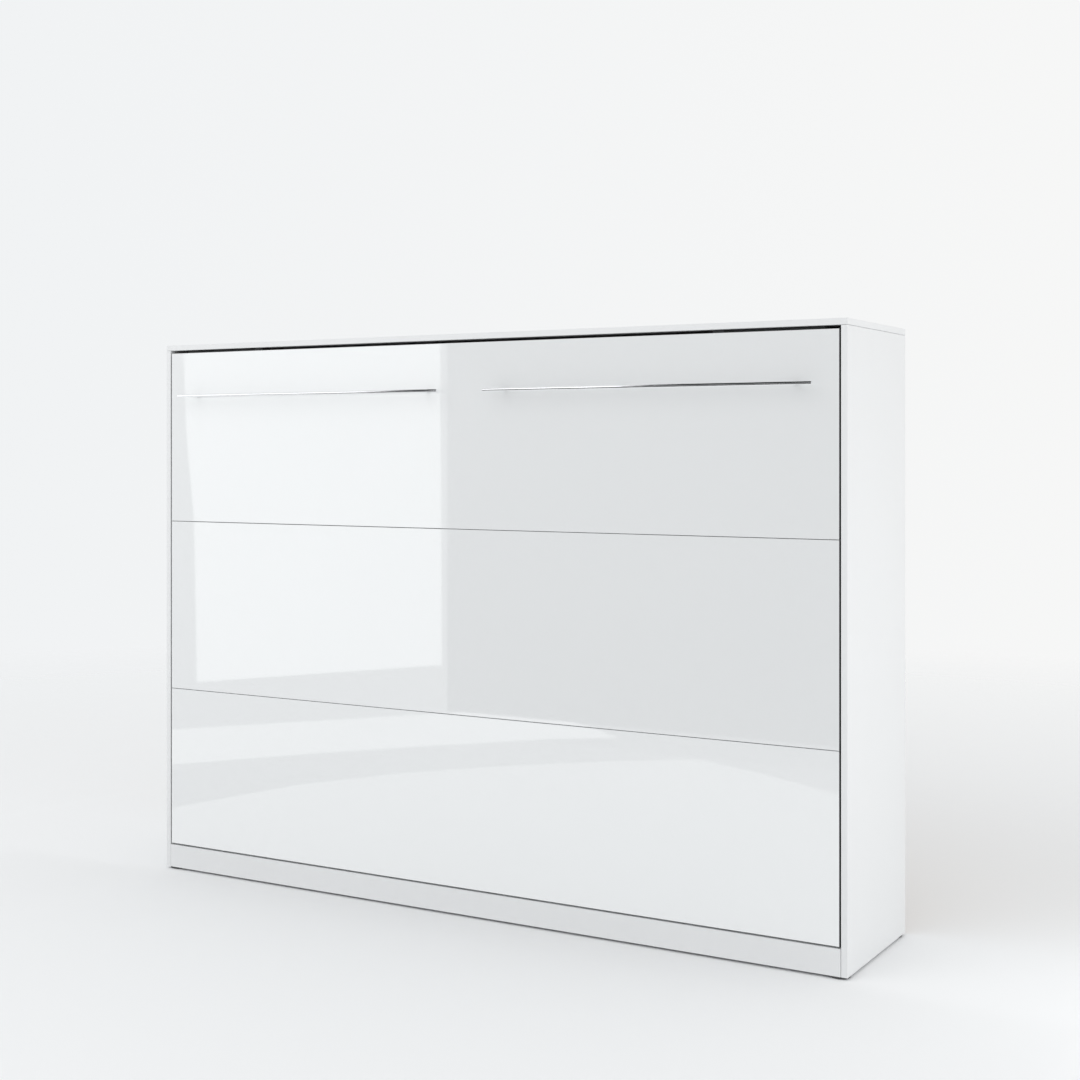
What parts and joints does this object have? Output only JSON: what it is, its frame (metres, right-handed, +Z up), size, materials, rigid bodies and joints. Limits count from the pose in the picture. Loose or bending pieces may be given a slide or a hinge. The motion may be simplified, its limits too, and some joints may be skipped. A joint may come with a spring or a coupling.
{
  "type": "murphy wall bed",
  "caption": "Horizontal fold-down wall bed in a white board cabinet with a gloss front, thin bar handles, slatted steel frame, mattress, gas struts and swing-out legs.",
  "frame": {"origin": "on the floor at the middle of the closed bed's outline, handles included", "axes": "+Z up; the front faces -Y, the wall is at +Y; X runs along the bed"},
  "size_m": [2.114, 0.49, 1.565],
  "materials": {
    "front_boards": "high gloss white foil on board",
    "cabinet_boards": "white melamine, satin",
    "back_boards": "white lacquered hardboard",
    "strip_plastic": "matt",
    "glide_plastic": "matt",
    "chrome": "polished",
    "zinc": "zinc plated",
    "frame_steel": "fine textured black powder coat",
    "plate_steel": "white powder coat",
    "leg_steel": "black powder coat",
    "strut_black": "satin black",
    "rod_steel": "polished rod",
    "beech": "satin layered beech",
    "mattress_cloth": "quilted knit",
    "webbing": "woven",
    "buffer_rubber": "matt"
  },
  "bodies": {
    "cabinet": {"side_panel_left": "cabinet_boards", "side_panel_right": "cabinet_boards", "top_board": "cabinet_boards", "plinth_board": "cabinet_boards", "rear_top_rail": "cabinet_boards", "rear_bottom_rail": "cabinet_boards", "back_panel_left": "back_boards", "back_panel_centre": "back_boards", "back_panel_right": "back_boards", "back_joining_strips": "strip_plastic", "levelling_glides": "glide_plastic", "cam_locks": "zinc", "cam_bolts": "zinc", "wall_brackets": "zinc", "pivot_plate_left": "plate_steel", "pivot_plate_right": "plate_steel", "pivot_pin_left": "zinc", "pivot_pin_right": "zinc", "pivot_plate_screws": "zinc", "upper_strut_studs": "zinc", "buffer_blocks": "strip_plastic", "buffer_pads": "buffer_rubber"},
    "bed": {"front_board_top": "front_boards", "front_board_middle": "front_boards", "front_board_bottom": "front_boards", "frame_rail_top": "frame_steel", "frame_rail_upper": "frame_steel", "frame_rail_lower": "frame_steel", "frame_rail_bottom": "frame_steel", "frame_end_left": "frame_steel", "frame_end_right": "frame_steel", "frame_uprights": "frame_steel", "frame_bolts": "zinc", "slats": "beech", "slat_holders": "glide_plastic", "mattress": "mattress_cloth", "mattress_strap_left": "webbing", "mattress_strap_right": "webbing", "strap_buckles": "glide_plastic", "bed_pivot_plate_left": "frame_steel", "bed_pivot_plate_right": "frame_steel", "pivot_bushes": "glide_plastic", "bed_plate_bolts": "zinc", "handle_bar_left": "chrome", "handle_bar_right": "chrome", "handle_posts": "chrome", "handle_screws": "zinc", "leg_rivets": "zinc", "leg_washers": "zinc"},
    "left_leg": {"leg_left": "leg_steel", "leg_pad_left": "glide_plastic"},
    "right_leg": {"leg_right": "leg_steel", "leg_pad_right": "glide_plastic"},
    "left_strut_cylinder": {"strut_cylinder_left": "strut_black"},
    "right_strut_cylinder": {"strut_cylinder_right": "strut_black"},
    "left_strut_rod": {"strut_rod_left": "rod_steel", "strut_socket_left": "strut_black"},
    "right_strut_rod": {"strut_rod_right": "rod_steel", "strut_socket_right": "strut_black"}
  },
  "joints": [
    {"name": "bed_fold", "type": "hinge", "parent": "cabinet", "child": "bed", "pos_m": [0, -0.146, 0.3], "axis": [1, 0, 0], "range_deg": [0, 90]},
    {"name": "left_leg_swing", "type": "hinge", "parent": "bed", "child": "left_leg", "pos_m": [-0.982, -0.17, 1.544], "axis": [0, 0, -1], "range_deg": [0, 90]},
    {"name": "left_strut_tilt", "type": "hinge", "parent": "cabinet", "child": "left_strut_cylinder", "pos_m": [-1.0235, -0.027, 0.524], "axis": [1, 0, 0], "range_deg": [0, 14.1]},
    {"name": "left_strut_slide", "type": "slide", "parent": "left_strut_cylinder", "child": "left_strut_rod", "axis": [0, -0.3946, -0.9188], "range_m": [-0.0929, 0]},
    {"name": "right_leg_swing", "type": "hinge", "parent": "bed", "child": "right_leg", "pos_m": [0.982, -0.17, 1.544], "axis": [0, 0, 1], "range_deg": [0, 90]},
    {"name": "right_strut_tilt", "type": "hinge", "parent": "cabinet", "child": "right_strut_cylinder", "pos_m": [1.0235, -0.027, 0.524], "axis": [1, 0, 0], "range_deg": [0, 14.1]},
    {"name": "right_strut_slide", "type": "slide", "parent": "right_strut_cylinder", "child": "right_strut_rod", "axis": [0, -0.3946, -0.9188], "range_m": [-0.0929, 0]}
  ],
  "couplings": [
    {"joint": "left_leg_swing", "follows": "bed_fold", "ratio": 1},
    {"joint": "left_strut_tilt", "follows": "bed_fold", "ratio": 0.15663},
    {"joint": "left_strut_slide", "follows": "bed_fold", "m_per_rad": -0.059141},
    {"joint": "right_leg_swing", "follows": "bed_fold", "ratio": 1},
    {"joint": "right_strut_tilt", "follows": "bed_fold", "ratio": 0.15663},
    {"joint": "right_strut_slide", "follows": "bed_fold", "m_per_rad": -0.059141}
  ]
}
